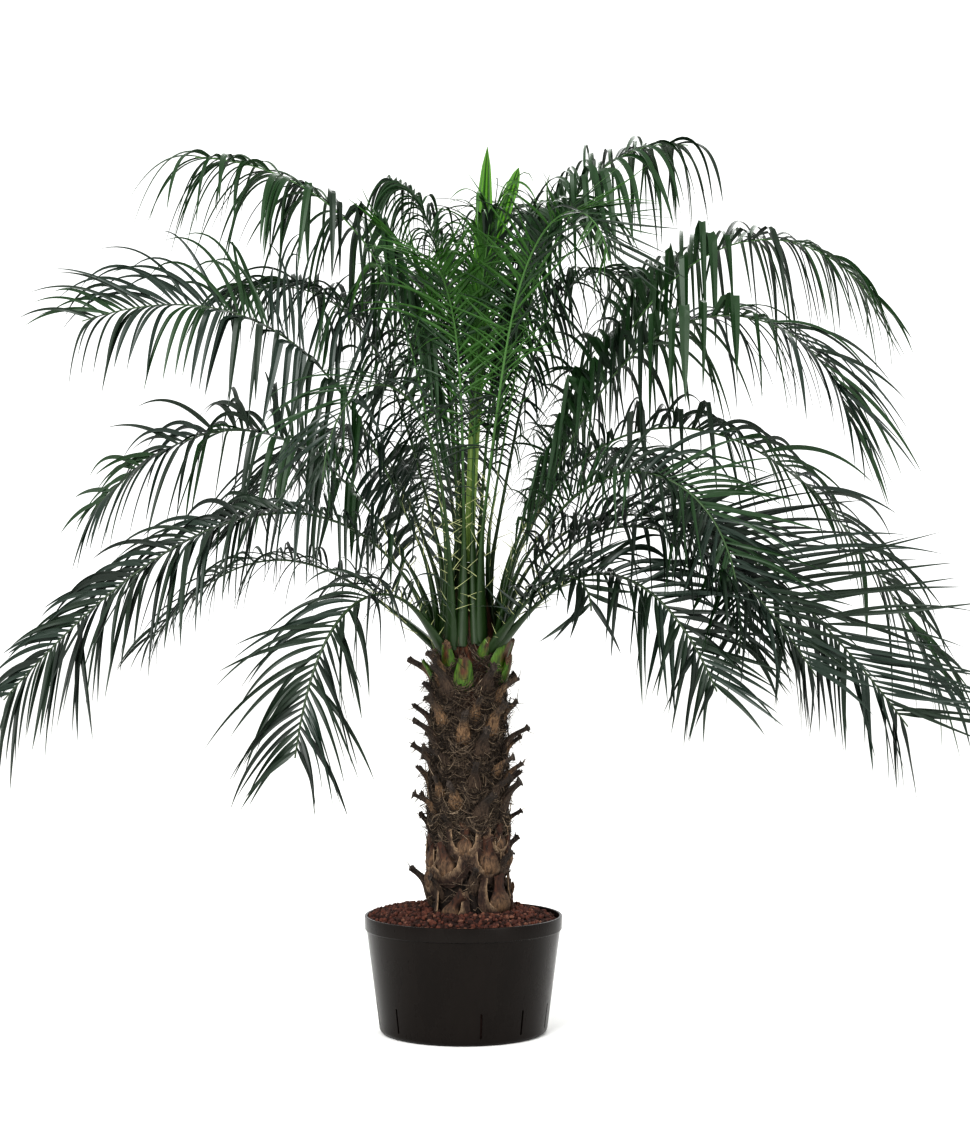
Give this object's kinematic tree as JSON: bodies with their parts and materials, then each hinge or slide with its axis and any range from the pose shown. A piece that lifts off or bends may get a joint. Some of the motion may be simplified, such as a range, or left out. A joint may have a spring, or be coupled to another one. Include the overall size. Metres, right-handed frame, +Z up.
{
  "type": "potted pygmy date palm",
  "caption": "Pygmy date palm with a stout fibrous trunk of cut leaf bases and an arching crown of feathery fronds, growing in a black plastic nursery pot.",
  "frame": {"origin": "centre of the pot's flat underside, where it stands on the floor", "axes": "+Z up along the trunk, +X to the right and +Y away from the viewer as the palm is seen in the picture"},
  "size_m": [1.6336, 1.2073, 1.4235],
  "materials": {
    "pot": "black moulded plastic with a soft sheen",
    "granulate": "reddish brown clay granulate, rough",
    "trunk": "fibrous bark with tan cut leaf bases",
    "old_fronds": "dark green leaflets with a greyish sheen",
    "mature_fronds": "mid green leaflets with a soft sheen",
    "young_fronds": "fresh green leaflets with a soft sheen",
    "spear_leaf": "bright green folded leaf"
  },
  "bodies": {
    "root": {"frond_01_fall": "old_fronds", "frond_01_rise": "old_fronds", "frond_02_fall": "old_fronds", "frond_02_rise": "old_fronds", "frond_03_fall": "old_fronds", "frond_03_rise": "old_fronds", "frond_04_fall": "old_fronds", "frond_04_rise": "old_fronds", "frond_05_fall": "old_fronds", "frond_05_rise": "old_fronds", "frond_06_fall": "old_fronds", "frond_06_rise": "old_fronds", "frond_07_fall": "old_fronds", "frond_07_rise": "old_fronds", "frond_08_fall": "old_fronds", "frond_08_rise": "old_fronds", "frond_09_fall": "old_fronds", "frond_09_rise": "old_fronds", "frond_10_fall": "old_fronds", "frond_10_rise": "old_fronds", "frond_11_fall": "mature_fronds", "frond_11_rise": "mature_fronds", "frond_12_fall": "mature_fronds", "frond_12_rise": "mature_fronds", "frond_13_fall": "mature_fronds", "frond_13_rise": "mature_fronds", "frond_14_fall": "mature_fronds", "frond_14_rise": "mature_fronds", "frond_15_fall": "mature_fronds", "frond_15_rise": "mature_fronds", "frond_16_fall": "mature_fronds", "frond_16_rise": "mature_fronds", "frond_17_fall": "mature_fronds", "frond_17_rise": "mature_fronds", "frond_18_fall": "mature_fronds", "frond_18_rise": "mature_fronds", "frond_19_fall": "mature_fronds", "frond_19_rise": "mature_fronds", "frond_20_fall": "young_fronds", "frond_20_rise": "young_fronds", "frond_21_fall": "young_fronds", "frond_21_rise": "young_fronds", "frond_22": "young_fronds", "frond_23_fall": "young_fronds", "frond_23_rise": "young_fronds", "frond_24_fall": "young_fronds", "frond_24_rise": "young_fronds", "frond_25_fall": "young_fronds", "frond_25_rise": "young_fronds", "frond_26": "young_fronds", "frond_27": "young_fronds", "frond_28": "young_fronds", "granulate": "granulate", "pot": "pot", "spear_leaf": "spear_leaf", "trunk": "trunk"}
  },
  "joints": []
}
